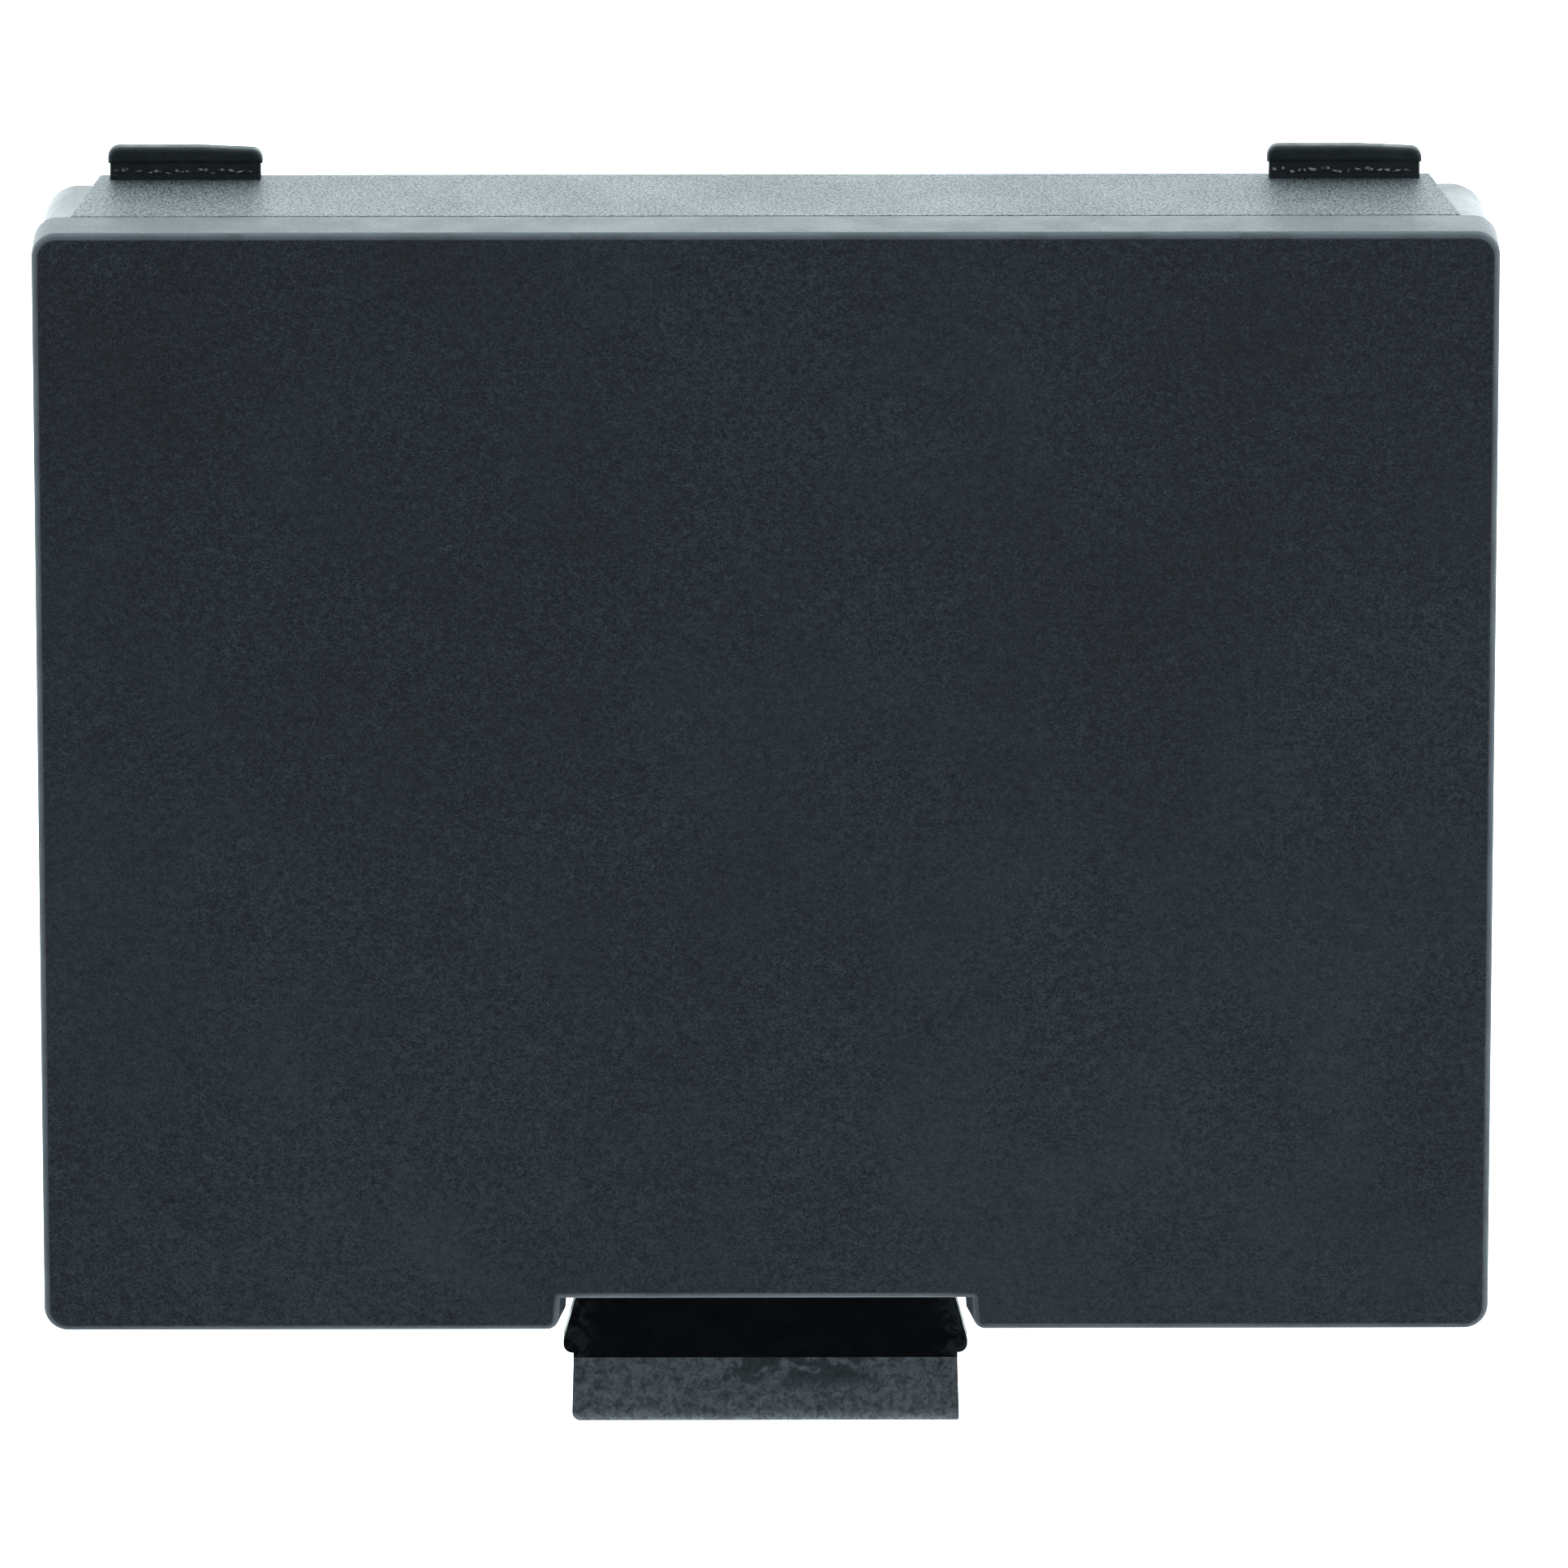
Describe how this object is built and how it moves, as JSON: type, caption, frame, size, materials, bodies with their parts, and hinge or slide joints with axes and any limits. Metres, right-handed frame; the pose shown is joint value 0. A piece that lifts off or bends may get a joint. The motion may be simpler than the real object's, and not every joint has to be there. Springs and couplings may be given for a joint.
{
  "type": "ink pad",
  "caption": "Ink pad cartridge for a self-inking stamp: a felt pad in a moulded tray with hooks, a sprung latch and a lift-off protective cover.",
  "frame": {"origin": "middle of the tray's rear face, where two flush ribs cross", "axes": "+Z out of the pad and the cover, +X along the long side, +Y towards the side with the two hooks"},
  "size_m": [0.077, 0.0706, 0.0125],
  "materials": {
    "cover_plastic": "fine spark-eroded grain, near-matt",
    "tray_plastic": "smooth satin moulding",
    "plate_plastic": "coarse spark-eroded grain, satin",
    "hook_plastic": "glossy",
    "latch_plastic": "glossy",
    "tab_plastic": "matt, rubbed and blotchy from handling",
    "frame_plastic": "satin",
    "inked_cloth": "fine plain weave soaked with black ink",
    "inked_felt": "dense felt soaked with black ink",
    "inked_foam": "open-cell foam soaked with black ink"
  },
  "bodies": {
    "case": {"tray": "tray_plastic", "hook_plate": "plate_plastic", "left_hook": "hook_plastic", "right_hook": "hook_plastic", "ink_foam": "inked_foam", "felt_pad": "inked_felt", "pad_cloth": "inked_cloth", "pad_frame": "frame_plastic"},
    "cover": {"protective_cover": "cover_plastic"},
    "latch": {"spring_latch": "latch_plastic", "finger_tab": "tab_plastic"}
  },
  "joints": [
    {"name": "cover_lift", "type": "slide", "parent": "case", "child": "cover", "axis": [0, 0, 1], "range_m": [0, 0.03]},
    {"name": "latch_flex", "type": "hinge", "parent": "case", "child": "latch", "pos_m": [0, -0.0299, 0.0015], "axis": [-1, 0, 0], "range_deg": [0, 12], "stiffness_Nm_per_rad": 0.1}
  ]
}
